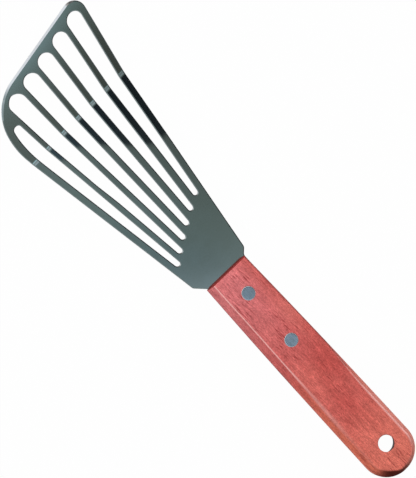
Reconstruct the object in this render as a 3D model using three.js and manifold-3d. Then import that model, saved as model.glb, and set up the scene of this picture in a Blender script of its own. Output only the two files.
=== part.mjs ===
// Slotted turner: one bent steel blade riveted into a sawn kerf in a wooden handle.
// Millimetres, X towards the blade's tip, Y towards the blade's rounded corner, Z up.
// While the pieces are built, X = 0 is the front face of the handle and Z = 0 its underside.

import * as THREE from 'three';
import { mergeVertices } from 'three/addons/utils/BufferGeometryUtils.js';
import Module from 'manifold-3d';

// Sheet blade, measured on the flat sheet before it is bent
const sheetThickness = 1.2;
const tipEdgeAtAxis = 147.6;
const tipSlantDegrees = 12.5;
const shortSideFlareDegrees = 9.7;
const longSideFlareDegrees = 8.2;
const roundedCornerRadius = 26.5;
const longCornerRadius = 6.3;
const tangHalfWidth = 12.6;
const tangLength = 66;
const tangEndRadius = 3;
const shortShoulderStep = 4.4;
const longShoulderStep = 2.45;
const shoulderStandOff = 0.4;
const shoulderRadius = 2.2;

// Slots that fan out between the two sides of the blade
const slotCount = 6;
const firstSlotBase = 38.7;
const slotBaseStep = 3.98;
const slotBaseWidth = 2.8;
const slotTaper = 0.0575;
const lastSlotTaper = 0.044;
const lastSlotShortfall = 11;
const slotEndRoundness = 0.96;
const edgeBarWidth = 3.65;
const tipRimWidth = 5.0;

// Bend that lifts the tip, and the edge ground on the tip's upper side
const bendAtAxis = 106.4;
const bendAngleDegrees = 16.5;
const bendRadius = 11;
const bendSkewDegrees = 3;
const grindWidth = 1.6;
const grindEdgeThickness = 0.35;

// One-piece wooden handle
const handleLength = 135.3;
const handleThickness = 13.5;
const handleFrontHalfWidth = 12.75;
const handleMiddleHalfWidth = 14.0;
const handleButtHalfWidth = 14.5;
const buttCornerShare = 0.97;
const handleOffCentre = 0.45;
const sideBevelWidth = 2.9;
const sideBevelDepth = 5.2;
const sideBevelSteps = 3;
const hangHoleRadius = 4.3;
const hangHoleFromButt = 17.7;

// Two-piece rivets: a solid post pressed into a hollow sleeve, heads flush with the wood
const frontRivetFromFront = 14.4;
const rearRivetFromTangEnd = 19.7;
const rivetHeadRadius = 3.6;
const rivetHeadThickness = 2.2;
const rivetHeadSink = 0.04;
const sleeveRadius = 2.5;
const postRadius = 1.6;
const sleeveFloorThickness = 1.4;
const postTipShare = 0.75;

// Room left between pieces that touch on the real tool
const kerfClearance = 0.04;
const boreClearance = 0.05;
const pressClearance = 0.02;
const endClearance = 0.3;

// How far a cut is drawn past the surface that it opens
const overcut = 1;

// How finely curves are drawn, and how near two corners are taken as one
const roundSegments = 48;
const cornerSegments = 16;
const slotSteps = 18;
const bendSegments = 6;
const longestPathStep = 5;
const weldDistance = 1e-4;

const wasm = await Module();
wasm.setup();

const radians = THREE.MathUtils.degToRad;
const midHeight = handleThickness / 2;
const bendAngle = radians(bendAngleDegrees);
const bendSkew = radians(bendSkewDegrees);
const tipSlope = Math.tan(radians(tipSlantDegrees));
const shortSideSlope = Math.tan(radians(shortSideFlareDegrees));
const longSideSlope = Math.tan(radians(longSideFlareDegrees));
const shortSideHalfWidth = tangHalfWidth + shortShoulderStep;
const longSideHalfWidth = tangHalfWidth + longShoulderStep;

// Solids
// A closed geometry becomes a solid after its seams are welded and its empty faces are dropped.
function solid(geometry) {
  const bare = new THREE.BufferGeometry();
  bare.setAttribute('position', geometry.getAttribute('position').clone());
  if (geometry.getIndex()) {
    bare.setIndex(geometry.getIndex().clone());
  }
  const welded = mergeVertices(bare, weldDistance);
  const corners = welded.getIndex().array;
  const kept = [];
  for (let i = 0; i < corners.length; i += 3) {
    const [a, b, c] = [corners[i], corners[i + 1], corners[i + 2]];
    if (a !== b && b !== c && c !== a) {
      kept.push(a, b, c);
    }
  }
  const mesh = new wasm.Mesh({
    numProp: 3,
    vertProperties: new Float32Array(welded.getAttribute('position').array),
    triVerts: new Uint32Array(kept),
  });
  return new wasm.Manifold(mesh);
}

function geometryOf(body) {
  const mesh = body.getMesh();
  const geometry = new THREE.BufferGeometry();
  const positions = new Float32Array(mesh.vertProperties);
  geometry.setAttribute('position', new THREE.BufferAttribute(positions, 3));
  geometry.setIndex(new THREE.BufferAttribute(new Uint32Array(mesh.triVerts), 1));
  return geometry;
}

function upright(radius, bottom, top, x) {
  const geometry = new THREE.CylinderGeometry(radius, radius, top - bottom, roundSegments);
  geometry.rotateX(Math.PI / 2);
  geometry.translate(x, 0, (bottom + top) / 2);
  return solid(geometry);
}

function turned(profile, x) {
  const points = profile.map(([radius, height]) => new THREE.Vector2(radius, height));
  const geometry = new THREE.LatheGeometry(points, roundSegments);
  geometry.rotateX(Math.PI / 2);
  geometry.translate(x, 0, 0);
  return solid(geometry);
}

function block(x0, x1, y0, y1, z0, z1) {
  const geometry = new THREE.BoxGeometry(x1 - x0, y1 - y0, z1 - z0);
  geometry.translate((x0 + x1) / 2, (y0 + y1) / 2, (z0 + z1) / 2);
  return solid(geometry);
}

// Flat pattern of the blade
// Replaces the corner of a path by an arc that touches both of its sides.
function roundCorner(before, corner, after, radius) {
  const into = before.clone().sub(corner).normalize();
  const out = after.clone().sub(corner).normalize();
  const half = Math.acos(THREE.MathUtils.clamp(into.dot(out), -1, 1)) / 2;
  const bisector = into.clone().add(out).normalize();
  const centre = corner.clone().addScaledVector(bisector, radius / Math.sin(half));
  const touch = radius / Math.tan(half);
  const first = corner.clone().addScaledVector(into, touch).sub(centre);
  const last = corner.clone().addScaledVector(out, touch).sub(centre);
  let sweep = last.angle() - first.angle();
  if (sweep > Math.PI) {
    sweep -= 2 * Math.PI;
  }
  if (sweep < -Math.PI) {
    sweep += 2 * Math.PI;
  }
  const points = [];
  for (let i = 0; i <= cornerSegments; i += 1) {
    const turn = first.angle() + (sweep * i) / cornerSegments;
    points.push(new THREE.Vector2(Math.cos(turn), Math.sin(turn)).multiplyScalar(radius).add(centre));
  }
  return { points, centre };
}

function shortSide(x) {
  return shortSideHalfWidth + shortSideSlope * x;
}

function longSide(x) {
  return -longSideHalfWidth - longSideSlope * x;
}

// Corners of the sheet, in order round its edge
const shortShoulderX = (shortShoulderStep + shoulderStandOff) / (1 - shortSideSlope);
const longShoulderX = (longShoulderStep + shoulderStandOff) / (1 - longSideSlope);
const shortTipY = (shortSideHalfWidth + shortSideSlope * tipEdgeAtAxis) / (1 + shortSideSlope * tipSlope);
const longTipY = -(longSideHalfWidth + longSideSlope * tipEdgeAtAxis) / (1 - longSideSlope * tipSlope);
const roundedCornerPlace = 4;
const sheetCorners = [
  { at: new THREE.Vector2(-tangLength, -tangHalfWidth), radius: tangEndRadius },
  { at: new THREE.Vector2(shoulderStandOff, -tangHalfWidth), radius: shoulderRadius },
  { at: new THREE.Vector2(longShoulderX, longSide(longShoulderX)), radius: shoulderRadius },
  { at: new THREE.Vector2(tipEdgeAtAxis - tipSlope * longTipY, longTipY), radius: longCornerRadius },
  { at: new THREE.Vector2(tipEdgeAtAxis - tipSlope * shortTipY, shortTipY), radius: roundedCornerRadius },
  { at: new THREE.Vector2(shortShoulderX, shortSide(shortShoulderX)), radius: shoulderRadius },
  { at: new THREE.Vector2(shoulderStandOff, tangHalfWidth), radius: shoulderRadius },
  { at: new THREE.Vector2(-tangLength, tangHalfWidth), radius: tangEndRadius },
];
const roundedCorners = sheetCorners.map(({ at, radius }, i) => {
  const before = sheetCorners[(i + sheetCorners.length - 1) % sheetCorners.length].at;
  const after = sheetCorners[(i + 1) % sheetCorners.length].at;
  return roundCorner(before, at, after, radius);
});
const sheetOutline = roundedCorners.flatMap((corner) => corner.points);
const roundedCornerCentre = roundedCorners[roundedCornerPlace].centre;

// Slots keep a bar of even width along each side and share the room between them.
const slots = Math.max(2, Math.round(slotCount));
const rimAtAxis = tipEdgeAtAxis - tipRimWidth / Math.cos(radians(tipSlantDegrees));

function slotBase(index) {
  return firstSlotBase - slotBaseStep * index;
}

function slotWidth(index, x) {
  const taper = index === slots - 1 ? lastSlotTaper : slotTaper;
  return slotBaseWidth + taper * (x - slotBase(index));
}

function slotCentre(index, x) {
  const first = longSide(x) + edgeBarWidth + slotWidth(0, x) / 2;
  const last = shortSide(x) - edgeBarWidth - slotWidth(slots - 1, x) / 2;
  return first + ((last - first) * index) / (slots - 1);
}

// The bar beside the last slot follows the rounded corner of the blade.
function insideCorner(x, y) {
  const reach = roundedCornerRadius - edgeBarWidth;
  const past = x - roundedCornerCentre.x;
  const touch = -reach * Math.sin(radians(shortSideFlareDegrees));
  if (past < touch || past > reach) {
    return y;
  }
  return Math.min(y, roundedCornerCentre.y + Math.sqrt(reach * reach - past * past));
}

function slotPath(index) {
  const start = slotCentre(index, 0);
  const slope = slotCentre(index, 1) - start;
  const lower = (x) => start + slope * x - slotWidth(index, x) / 2;
  const upper = (x) => insideCorner(x, start + slope * x + slotWidth(index, x) / 2);
  const base = slotBase(index);
  const shortfall = index === slots - 1 ? lastSlotShortfall : 0;
  const tip = (rimAtAxis - tipSlope * start) / (1 + tipSlope * slope) - shortfall;
  const from = base + slotBaseWidth / 2;
  const to = tip - ((upper(tip) - lower(tip)) / 2) * slotEndRoundness;
  const side = (edge, i) => {
    const x = from + ((to - from) * i) / slotSteps;
    return new THREE.Vector2(x, edge(x));
  };
  const end = (x, depth, firstTurn) => {
    const middle = (upper(x) + lower(x)) / 2;
    const half = (upper(x) - lower(x)) / 2;
    const points = [];
    for (let i = 1; i < cornerSegments; i += 1) {
      const turn = firstTurn + (Math.PI * i) / cornerSegments;
      const out = depth * Math.cos(turn);
      points.push(new THREE.Vector2(x + out, middle + slope * out + half * Math.sin(turn)));
    }
    return points;
  };
  const steps = Array.from({ length: slotSteps + 1 }, (unused, i) => i);
  return [
    ...steps.map((i) => side(lower, i)),
    ...end(to, tip - to, -Math.PI / 2),
    ...steps.reverse().map((i) => side(upper, i)),
    ...end(from, from - base, Math.PI / 2),
  ];
}

// Bend
// The sheet folds about a line that crosses the axis at bendAtAxis, a few degrees off square.
const bendReach = bendRadius * Math.tan(bendAngle / 2);
const acrossBend = new THREE.Vector2(Math.cos(bendSkew), Math.sin(bendSkew));
const alongBend = new THREE.Vector2(-acrossBend.y, acrossBend.x);
const bendPoint = new THREE.Vector2(bendAtAxis, 0);

function foldedRun(distance) {
  const walked = distance + bendReach;
  if (walked <= 0) {
    return { run: distance, rise: 0 };
  }
  const turn = Math.min(walked / bendRadius, bendAngle);
  const rest = Math.max(0, walked - bendRadius * bendAngle);
  return {
    run: -bendReach + bendRadius * Math.sin(turn) + rest * Math.cos(bendAngle),
    rise: bendRadius * (1 - Math.cos(turn)) + rest * Math.sin(bendAngle),
  };
}

function seenFromAbove(point) {
  const offset = point.clone().sub(bendPoint);
  const { run } = foldedRun(offset.dot(acrossBend));
  const sideways = offset.dot(alongBend);
  return bendPoint.clone().addScaledVector(acrossBend, run).addScaledVector(alongBend, sideways);
}

// Long sides get extra points so that they follow the fold.
function finePath(points) {
  const fine = [];
  points.forEach((point, i) => {
    const next = points[(i + 1) % points.length];
    const pieces = Math.max(1, Math.ceil(point.distanceTo(next) / longestPathStep));
    for (let k = 0; k < pieces; k += 1) {
      fine.push(point.clone().lerp(next, k / pieces));
    }
  });
  return fine;
}

function bentSheet() {
  const upper = [];
  const lower = [];
  const stations = [-(bendAtAxis + 2 * tangLength), -bendReach];
  for (let i = 1; i <= bendSegments; i += 1) {
    stations.push(-bendReach + (bendRadius * bendAngle * i) / bendSegments);
  }
  stations.push(tipEdgeAtAxis);
  stations.forEach((distance) => {
    const { run, rise } = foldedRun(distance);
    const turn = THREE.MathUtils.clamp((distance + bendReach) / bendRadius, 0, bendAngle);
    const lift = new THREE.Vector2(-Math.sin(turn), Math.cos(turn)).multiplyScalar(sheetThickness / 2);
    const middle = new THREE.Vector2(run, rise);
    upper.push(middle.clone().add(lift));
    lower.push(middle.clone().sub(lift));
  });
  const profile = new THREE.Shape([...lower, ...upper.reverse()]);
  const span = 2 * tipEdgeAtAxis;
  const geometry = new THREE.ExtrudeGeometry(profile, { depth: span, bevelEnabled: false });
  geometry.rotateX(Math.PI / 2);
  geometry.translate(0, span / 2, 0);
  geometry.rotateZ(bendSkew);
  geometry.translate(bendAtAxis, 0, midHeight);
  return solid(geometry);
}

// A tilted block that takes the upper corner off the tip's straight edge.
function grindingBlock() {
  const slant = radians(tipSlantDegrees);
  const outward = new THREE.Vector2(Math.cos(slant), Math.sin(slant));
  const edgeward = new THREE.Vector2(-outward.y, outward.x);
  const slope = new THREE.Vector3(
    acrossBend.x * Math.cos(bendAngle),
    acrossBend.y * Math.cos(bendAngle),
    Math.sin(bendAngle),
  );
  const level = new THREE.Vector3(alongBend.x, alongBend.y, 0);
  const inSpace = (flat) => {
    const direction = slope.clone().multiplyScalar(flat.dot(acrossBend));
    return direction.addScaledVector(level, flat.dot(alongBend));
  };
  const out = inSpace(outward);
  const edge = inSpace(edgeward);
  const normal = new THREE.Vector3().crossVectors(out, edge);
  const drop = Math.atan2(sheetThickness - grindEdgeThickness, grindWidth);
  const downhill = out.clone().multiplyScalar(Math.cos(drop)).addScaledVector(normal, -Math.sin(drop));
  const away = new THREE.Vector3().crossVectors(downhill, edge);
  const start = new THREE.Vector2(tipEdgeAtAxis, 0).addScaledVector(outward, -grindWidth);
  const offset = start.clone().sub(bendPoint);
  const { run, rise } = foldedRun(offset.dot(acrossBend));
  const plan = bendPoint.clone().addScaledVector(acrossBend, run);
  plan.addScaledVector(alongBend, offset.dot(alongBend));
  const onTop = new THREE.Vector3(plan.x, plan.y, midHeight + rise);
  onTop.addScaledVector(normal, sheetThickness / 2);
  const length = 2 * tipEdgeAtAxis;
  const depth = 10 * grindWidth;
  const geometry = new THREE.BoxGeometry(depth, length, depth);
  geometry.translate(depth / 2, 0, depth / 2);
  geometry.applyMatrix4(new THREE.Matrix4().makeBasis(downhill, edge, away).setPosition(onTop));
  return solid(geometry);
}

const rivetPlaces = [-frontRivetFromFront, rearRivetFromTangEnd - tangLength];

function bladeBody() {
  const plan = new THREE.Shape(finePath(sheetOutline).map(seenFromAbove));
  for (let i = 0; i < slots; i += 1) {
    plan.holes.push(new THREE.Path(finePath(slotPath(i)).map(seenFromAbove)));
  }
  const height = midHeight + tipEdgeAtAxis;
  const prism = solid(new THREE.ExtrudeGeometry(plan, { depth: height, bevelEnabled: false }));
  let body = bentSheet().intersect(prism).subtract(grindingBlock());
  rivetPlaces.forEach((x) => {
    body = body.subtract(upright(sleeveRadius + boreClearance, 0, handleThickness, x));
  });
  return body;
}

// Handle
// The outline is drawn past the front face, bevelled all round, then sawn square at the front.
function handleBody() {
  const buttCornerRadius = buttCornerShare * handleButtHalfWidth;
  const buttX = -handleLength + buttCornerRadius;
  const flat = handleButtHalfWidth - buttCornerRadius;
  const middleX = buttX / 2;
  const controlY = 2 * handleMiddleHalfWidth - (handleFrontHalfWidth + handleButtHalfWidth) / 2;
  const extra = 3 * sideBevelWidth;
  const frontSlope = (controlY - handleFrontHalfWidth) / middleX;
  const frontY = handleFrontHalfWidth + frontSlope * extra;
  const outline = new THREE.Shape();
  outline.moveTo(extra, -frontY);
  outline.lineTo(extra, frontY);
  outline.lineTo(0, handleFrontHalfWidth);
  outline.quadraticCurveTo(middleX, controlY, buttX, flat + buttCornerRadius);
  outline.absarc(buttX, flat, buttCornerRadius, Math.PI / 2, Math.PI, false);
  outline.absarc(buttX, -flat, buttCornerRadius, Math.PI, 1.5 * Math.PI, false);
  outline.quadraticCurveTo(middleX, -controlY, 0, -handleFrontHalfWidth);
  const geometry = new THREE.ExtrudeGeometry(outline, {
    depth: handleThickness - 2 * sideBevelDepth,
    curveSegments: cornerSegments,
    bevelEnabled: true,
    bevelSize: sideBevelWidth,
    bevelThickness: sideBevelDepth,
    bevelOffset: -sideBevelWidth,
    bevelSegments: sideBevelSteps,
  });
  geometry.translate(0, handleOffCentre, sideBevelDepth);
  const wide = 4 * handleButtHalfWidth;
  const tall = 2 * handleThickness;
  let body = solid(geometry);
  body = body.subtract(block(0, 4 * extra, -wide, wide, -tall, 2 * tall));
  const kerfHalf = sheetThickness / 2 + kerfClearance;
  const kerfEnd = -tangLength - endClearance;
  body = body.subtract(block(kerfEnd, extra, -wide, wide, midHeight - kerfHalf, midHeight + kerfHalf));
  const recess = rivetHeadThickness + rivetHeadSink + kerfClearance;
  rivetPlaces.forEach((x) => {
    body = body.subtract(upright(sleeveRadius + boreClearance, -overcut, handleThickness + overcut, x));
    body = body.subtract(upright(rivetHeadRadius + boreClearance, -overcut, recess, x));
    const top = handleThickness - recess;
    body = body.subtract(upright(rivetHeadRadius + boreClearance, top, handleThickness + overcut, x));
  });
  const holeX = hangHoleFromButt - handleLength;
  return body.subtract(upright(hangHoleRadius, -overcut, handleThickness + overcut, holeX));
}

// Rivets
function postBody(x) {
  const top = handleThickness - rivetHeadSink;
  const underHead = top - rivetHeadThickness;
  const foot = rivetHeadSink + sleeveFloorThickness + endClearance;
  const tip = postRadius * postTipShare;
  return turned([
    [0, foot],
    [tip, foot],
    [postRadius, foot + postRadius - tip],
    [postRadius, underHead],
    [rivetHeadRadius, underHead],
    [rivetHeadRadius, top],
    [0, top],
  ], x);
}

function sleeveBody(x) {
  const bottom = rivetHeadSink;
  const mouth = handleThickness - rivetHeadSink - rivetHeadThickness - endClearance;
  const overHead = bottom + rivetHeadThickness;
  return turned([
    [0, bottom],
    [rivetHeadRadius, bottom],
    [rivetHeadRadius, overHead],
    [sleeveRadius, overHead],
    [sleeveRadius, mouth],
    [postRadius + pressClearance, mouth],
    [postRadius + pressClearance, bottom + sleeveFloorThickness],
    [0, bottom + sleeveFloorThickness],
  ], x);
}

// Pieces of the turner
const steelLook = { color: 0x8d9794, roughness: 0.34, metalness: 1 };
const woodLook = { color: 0xb5524a, roughness: 0.5, metalness: 0 };
const rivetLook = { color: 0x9fb0ba, roughness: 0.3, metalness: 1 };
const pieces = [
  ['slotted_blade', bladeBody(), steelLook],
  ['wood_handle', handleBody(), woodLook],
  ['front_rivet_post', postBody(rivetPlaces[0]), rivetLook],
  ['front_rivet_sleeve', sleeveBody(rivetPlaces[0]), rivetLook],
  ['rear_rivet_post', postBody(rivetPlaces[1]), rivetLook],
  ['rear_rivet_sleeve', sleeveBody(rivetPlaces[1]), rivetLook],
];

const turner = new THREE.Group();
turner.name = 'slotted_turner';
pieces.forEach(([name, body, look]) => {
  const mesh = new THREE.Mesh(geometryOf(body), new THREE.MeshStandardMaterial(look));
  mesh.name = name;
  turner.add(mesh);
});

// The origin goes to the middle of the footprint, on the plane the handle lies on.
const extent = new THREE.Box3().setFromObject(turner);
const middle = extent.getCenter(new THREE.Vector3());
turner.children.forEach((mesh) => {
  mesh.geometry.translate(-middle.x, -middle.y, -extent.min.z);
  mesh.geometry.computeVertexNormals();
});

export default turner;
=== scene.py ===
# %% [markdown]
# A slotted kitchen turner lies on a white table and is seen almost from above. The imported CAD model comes
# in first and stays as the fixed frame. Each piece made below stands where its CAD node stands, in metres,
# with X towards the blade's tip, Y towards the blade's rounded corner and Z up.

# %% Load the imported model
import math
from types import SimpleNamespace

import bmesh
import bpy
from mathutils import Matrix, Vector


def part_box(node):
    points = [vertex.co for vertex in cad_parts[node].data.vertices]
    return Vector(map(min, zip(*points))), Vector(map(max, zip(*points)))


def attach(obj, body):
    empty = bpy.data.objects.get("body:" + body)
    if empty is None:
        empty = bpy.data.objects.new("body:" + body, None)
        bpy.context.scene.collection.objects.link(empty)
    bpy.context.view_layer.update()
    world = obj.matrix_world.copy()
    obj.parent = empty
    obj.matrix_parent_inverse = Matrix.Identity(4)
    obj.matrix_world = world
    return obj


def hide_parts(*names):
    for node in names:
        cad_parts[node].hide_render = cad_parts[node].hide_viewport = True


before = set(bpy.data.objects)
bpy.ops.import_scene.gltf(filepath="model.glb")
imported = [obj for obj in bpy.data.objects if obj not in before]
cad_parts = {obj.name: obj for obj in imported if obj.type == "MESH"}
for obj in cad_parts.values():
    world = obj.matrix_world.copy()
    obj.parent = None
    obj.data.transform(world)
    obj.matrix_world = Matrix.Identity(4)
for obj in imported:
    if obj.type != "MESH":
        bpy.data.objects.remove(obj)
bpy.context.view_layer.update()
MM = 0.001
handle_low, handle_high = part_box("wood_handle")
post_low, post_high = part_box("front_rivet_post")
handle_front = handle_high.x
handle_length = handle_high.x - handle_low.x
handle_middle_y = (handle_low.y + handle_high.y) / 2
handle_thickness = handle_high.z - handle_low.z
mid_height = handle_thickness / 2
axis_y = (post_low.y + post_high.y) / 2

# %% [markdown]
# Nodes are easier to read as formulas than as a long list of links. The small class below stands for a
# value that flows through a node tree. Adding two such values places an Add node and links it, so the rules
# for the slots and the bend can be written almost as they would be on paper.

# %% Formulas that become nodes
class Flow:
    def __init__(self, socket):
        self.socket = socket
        self.tree = socket.id_data

    def through(self, node, *others):
        for socket, value in zip(node.inputs, (self, *others)):
            feed(socket, value)
        return Flow(node.outputs[0])

    def maths(self, operation, *others):
        return self.through(place_node(self.tree, "ShaderNodeMath", {"operation": operation}), *others)

    def __add__(self, other):
        return self.maths("ADD", other)

    def __sub__(self, other):
        return self.maths("SUBTRACT", other)

    def __mul__(self, other):
        return self.maths("MULTIPLY", other)

    def __truediv__(self, other):
        return self.maths("DIVIDE", other)

    def __neg__(self):
        return self.maths("MULTIPLY", -1.0)

    def ramp(self, low, high, first=0.0, last=1.0, smooth=False):
        style = {"interpolation_type": "SMOOTHSTEP" if smooth else "LINEAR"}
        return self.through(place_node(self.tree, "ShaderNodeMapRange", style), low, high, first, last)

    def fade(self, low, high):
        return self.ramp(low, high, 1.0, 0.0)


def feed(socket, value):
    if isinstance(value, Flow):
        value.tree.links.new(value.socket, socket)
    elif socket.type == "RGBA":
        socket.default_value = (*value, 1.0)
    else:
        socket.default_value = value


def feed_named(node, inputs):
    for name, value in inputs.items():
        feed(node.inputs[name.replace("_", " ")], value)


def place_node(tree, kind, settings=None, **inputs):
    node = tree.nodes.new(kind)
    for name, value in (settings or {}).items():
        setattr(node, name, value)
    feed_named(node, inputs)
    return node


def step(tree, kind, settings=None, out=0, **inputs):
    return Flow(place_node(tree, kind, settings, **inputs).outputs[out])


def parts_of(vector):
    node = place_node(vector.tree, "ShaderNodeSeparateXYZ", Vector=vector)
    return [Flow(socket) for socket in node.outputs]


print("node helpers:", [helper.__name__ for helper in (Flow, feed, place_node, step, parts_of)])

# %% [markdown]
# The camera looks from where the photo was taken: nearly above the tool, six degrees towards the tip and ten
# towards the rounded corner, and rolled so that the handle runs to the lower right. The long lens keeps the
# two ends of the tool at almost the same scale.

# %% Camera
def add_object(name, data):
    added = bpy.data.objects.new(name, data)
    bpy.context.scene.collection.objects.link(added)
    return added


image_width = 416
image_height = 478
focal_in_pixels = 2204.35
tilt_to_tip = math.radians(6)
tilt_to_rounded_corner = math.radians(10)
camera_roll = math.radians(-132.535)
camera_distance = 1100 * MM
look_at = Vector((10.07 * MM, -4.83 * MM, mid_height))
towards_camera = Vector((math.tan(tilt_to_tip), math.tan(tilt_to_rounded_corner), 1)).normalized()
level_right = (Vector((1, 0, 0)) - towards_camera * towards_camera.x).normalized()
level_up = towards_camera.cross(level_right)
image_right = math.cos(camera_roll) * level_right + math.sin(camera_roll) * level_up
image_up = -math.sin(camera_roll) * level_right + math.cos(camera_roll) * level_up
camera_data = bpy.data.cameras.new("photo_camera")
camera_data.sensor_width = 36
camera_data.lens = focal_in_pixels * camera_data.sensor_width / max(image_width, image_height)
camera = add_object("photo_camera", camera_data)
turn = Matrix((image_right, image_up, towards_camera)).transposed()
camera.matrix_world = Matrix.Translation(look_at + camera_distance * towards_camera) @ turn.to_4x4()
scene = bpy.context.scene
scene.camera = camera
scene.view_settings.view_transform = "Standard"
print("lens:", round(camera_data.lens, 2), "mm")

# %% [markdown]
# Polished steel shows whatever hangs above it, so the ceiling is not one even tone. Across the tool's length
# it has a warm panel, a dark gap, a white panel and a pale one. The gap makes the dark bands on the bars, and
# the white panel makes the bright line at the bend. The panels lie a little askew, which slants the bands. A
# colour ramp holds the tones, from the tip's end of the room to the handle's end, with zero straight above.

# %% Ceiling tones
ceiling_start = -1.0
ceiling_end = 1.5
warm_panel = (0.50, 0.46, 0.45)
dark_gap = (0.012, 0.017, 0.022)
white_panel = (0.51, 0.595, 0.66)
pale_panel = (0.38, 0.43, 0.44)
ceiling_stops = [
    (-0.90, (0.30, 0.31, 0.32)),
    (-0.50, warm_panel),
    (-0.20, warm_panel),
    (-0.12, dark_gap),
    (0.0, dark_gap),
    (0.03, (0.105, 0.120, 0.115)),
    (0.07, (0.135, 0.160, 0.150)),
    (0.10, (0.145, 0.177, 0.165)),
    (0.145, (0.140, 0.190, 0.196)),
    (0.17, white_panel),
    (0.26, white_panel),
    (0.32, pale_panel),
    (0.42, pale_panel),
    (0.56, (0.32, 0.44, 0.46)),
    (0.60, (0.130, 0.155, 0.144)),
    (0.66, (0.088, 0.096, 0.084)),
    (0.72, (0.075, 0.084, 0.074)),
    (0.85, (0.16, 0.17, 0.17)),
    (1.30, (0.20, 0.21, 0.22)),
]


def cleared_tree(owner):
    owner.use_nodes = True
    owner.node_tree.nodes.clear()
    return owner.node_tree


world = bpy.data.worlds.new("studio")
scene.world = world
room = cleared_tree(world)
level_view = 0.05
panel_skew = 0.6
bend_turn = 0.115
to_tip, to_side, to_top = parts_of(step(room, "ShaderNodeTexCoord", None, "Generated"))
upward = to_top.maths("MAXIMUM", level_view)
to_far_side = (to_tip * bend_turn - to_side) / upward
panel_shift = to_far_side.ramp(0.10, 0.25, -0.10, 0.05) * panel_skew
along = -to_tip / upward - panel_shift
end_shift = to_far_side.ramp(0.178, 0.205, -0.008, 0.042) * along.ramp(0.45, 0.53)
along = along + end_shift
ceiling = place_node(room, "ShaderNodeValToRGB")
feed(ceiling.inputs[0], along.ramp(ceiling_start, ceiling_end))
tones = ceiling.color_ramp.elements
while len(tones) < len(ceiling_stops):
    tones.new(1.0)
for tone, (place, colour) in zip(tones, ceiling_stops):
    tone.position = (place - ceiling_start) / (ceiling_end - ceiling_start)
    tone.color = (*colour, 1.0)
print("ceiling tones:", len(tones))

# %% [markdown]
# The ceiling is also not the same from side to side. It is lighter towards the rounded corner's side, and the
# part that the plate near the handle mirrors has its own tints. Each tint fills one zone, which begins and
# ends over a short span, so that no hard line shows in the steel. To the sides it passes into two walls.

# %% Tints across the ceiling
def blended(tree, factor, first, second, style="MIX"):
    settings = {"data_type": "RGBA", "blend_type": style}
    return step(tree, "ShaderNodeMix", settings, "Result", Factor=factor, A=first, B=second)


def grey(level):
    return (level, level, level)


near_tint = (1.56, 1.68, 1.77)
far_tint = (0.92, 0.92, 0.90)
far_panel_tint = (0.42, 0.45, 0.43)
plate_tint = (1.50, 1.48, 1.38)
near_plate_tint = (1.25, 1.38, 1.46)
corner_tint = (2.0, 2.15, 2.3)
near_glow = (0.050, 0.080, 0.100)
near_wall = (0.30, 0.36, 0.37)
far_wall = (0.24, 0.27, 0.275)
far_half = to_far_side.ramp(0.15, 0.19)
far_panels = to_far_side.ramp(0.167, 0.192)
over_plate = along.fade(0.145, 0.165)
far_plate = to_far_side.ramp(0.160, 0.170) * over_plate
near_plate = to_far_side.fade(0.140, 0.153) * over_plate
over_panels = along.ramp(0.10, 0.13) * along.fade(0.45, 0.50)
past_bend = along.ramp(0.50, 0.53) * along.fade(0.72, 0.78)
near_corner = to_far_side.fade(0.138, 0.156) * past_bend
near_gap = to_far_side.fade(0.154, 0.164) * along.fade(0.0, 0.04)
past_near_side = to_far_side.fade(-0.30, -0.05)
past_far_side = to_far_side.ramp(0.45, 0.70)
panel_tint = blended(room, far_panels, grey(1.0), far_panel_tint)
panel_tint = blended(room, far_plate, panel_tint, plate_tint)
panel_tint = blended(room, near_plate, panel_tint, near_plate_tint)
tint = blended(room, far_half, near_tint, far_tint)
tint = blended(room, over_panels, tint, panel_tint)
tint = blended(room, near_corner, tint, corner_tint)
overhead = blended(room, 1.0, Flow(ceiling.outputs[0]), tint, "MULTIPLY")
overhead = blended(room, near_gap, overhead, near_glow, "ADD")
overhead = blended(room, past_near_side, overhead, near_wall)
overhead = blended(room, past_far_side, overhead, far_wall)
print("nodes for the ceiling:", len(room.nodes))

# %% [markdown]
# On the far side a broad strip lies in shade, so the rims that lean that way turn dark. Below the ceiling the
# room has a dark corner and a light one, and these show in the upright edges. The camera itself sees plain
# white instead of the room, as in a product photo.

# %% Room
dark_corner = (0.30, 0.30, 0.31)
light_corner = (0.76, 0.77, 0.78)
in_shade = to_far_side.ramp(0.25, 0.60, 0.0, 0.85) * to_far_side.ramp(1.10, 1.45, 1.0, 0.15)
overhead = blended(room, in_shade, overhead, grey(0.0))
corner_light = (to_tip * 0.8 - to_side * 0.3).ramp(-0.6, 0.6, smooth=True)
walls = blended(room, corner_light, dark_corner, light_corner)
sky = blended(room, to_top.ramp(0.25, 0.45, smooth=True), walls, overhead)
seen = step(room, "ShaderNodeLightPath", None, "Is Camera Ray")
glow = step(room, "ShaderNodeBackground", Color=blended(room, seen, sky, grey(1.0)))
place_node(room, "ShaderNodeOutputWorld", Surface=glow)
print("nodes for the room:", len(room.nodes))

# %% [markdown]
# Two softboxes hang to either side of the tool and light the wood. They are hidden from reflections, so that
# the steel shows only the ceiling. The table glows white to the camera and in reflections, but for scattered
# light it is plain grey paper, because a glowing table would light the tool from below.

# %% Softboxes and table
def named_flows(node):
    """The outputs of a node as attributes, so that Base Width is read as base_width."""
    titles = {socket.name.lower().replace(" ", "_"): Flow(socket) for socket in node.outputs if socket.name}
    return SimpleNamespace(**titles)


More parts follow.
